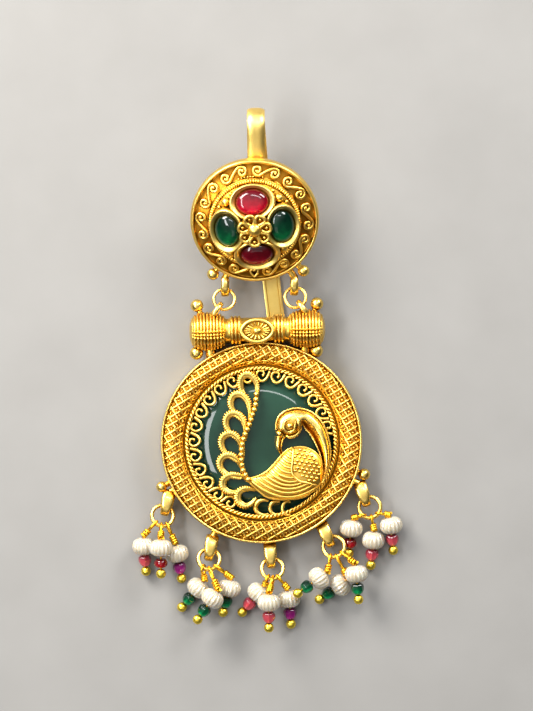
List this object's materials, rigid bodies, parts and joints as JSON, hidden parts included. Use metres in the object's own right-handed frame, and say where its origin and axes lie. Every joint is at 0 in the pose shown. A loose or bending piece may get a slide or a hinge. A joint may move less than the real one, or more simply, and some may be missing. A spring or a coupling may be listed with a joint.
{
  "type": "hair brooch",
  "caption": "Gold-tone hair brooch: domed gem-set disc on a strip hook, linked to a round green stone medallion with a pierced peacock front and hanging pearl bunches.",
  "frame": {"origin": "middle of the medallion's flat back, on the surface that the brooch lies on", "axes": "+Z out of the face, +Y from the medallion towards the hook, +X to the right as seen from the front"},
  "size_m": [0.054, 0.1048, 0.017],
  "materials": {
    "gold": "antique gold plate, cast and polished on the high points",
    "green_stone": "polished cabochon",
    "ruby_stone": "polished cabochon",
    "emerald_stone": "polished cabochon",
    "pearl": "ivory pearl coat, ribbed",
    "glass_rose": "glossy drilled bead",
    "glass_ruby": "glossy drilled bead",
    "glass_violet": "glossy drilled bead",
    "glass_leaf": "glossy drilled bead"
  },
  "bodies": {
    "root": {"top_disc": "gold", "hook": "gold", "ruby_top": "ruby_stone", "ruby_bottom": "ruby_stone", "emerald_left": "emerald_stone", "emerald_right": "emerald_stone", "link_ring_left": "gold", "link_ring_right": "gold", "medallion": "gold", "green_stone": "green_stone", "drop_ring_1": "gold", "pin_1a": "gold", "pearl_1a": "pearl", "bead_1a": "glass_rose", "pin_1b": "gold", "pearl_1b": "pearl", "bead_1b": "glass_ruby", "pin_1c": "gold", "pearl_1c": "pearl", "bead_1c": "glass_violet", "drop_ring_2": "gold", "pin_2a": "gold", "pearl_2a": "pearl", "bead_2a": "glass_leaf", "pin_2b": "gold", "pearl_2b": "pearl", "bead_2b": "glass_leaf", "pin_2c": "gold", "pearl_2c": "pearl", "bead_2c": "glass_leaf", "drop_ring_3": "gold", "pin_3a": "gold", "pearl_3a": "pearl", "bead_3a": "glass_rose", "pin_3b": "gold", "pearl_3b": "pearl", "bead_3b": "glass_rose", "pin_3c": "gold", "pearl_3c": "pearl", "bead_3c": "glass_violet", "drop_ring_4": "gold", "pin_4a": "gold", "pearl_4a": "pearl", "bead_4a": "glass_leaf", "pin_4b": "gold", "pearl_4b": "pearl", "bead_4b": "glass_leaf", "pin_4c": "gold", "pearl_4c": "pearl", "bead_4c": "glass_leaf", "drop_ring_5": "gold", "pin_5a": "gold", "pearl_5a": "pearl", "bead_5a": "glass_ruby", "pin_5b": "gold", "pearl_5b": "pearl", "bead_5b": "glass_rose", "pin_5c": "gold", "pearl_5c": "pearl", "bead_5c": "glass_rose"}
  },
  "joints": []
}
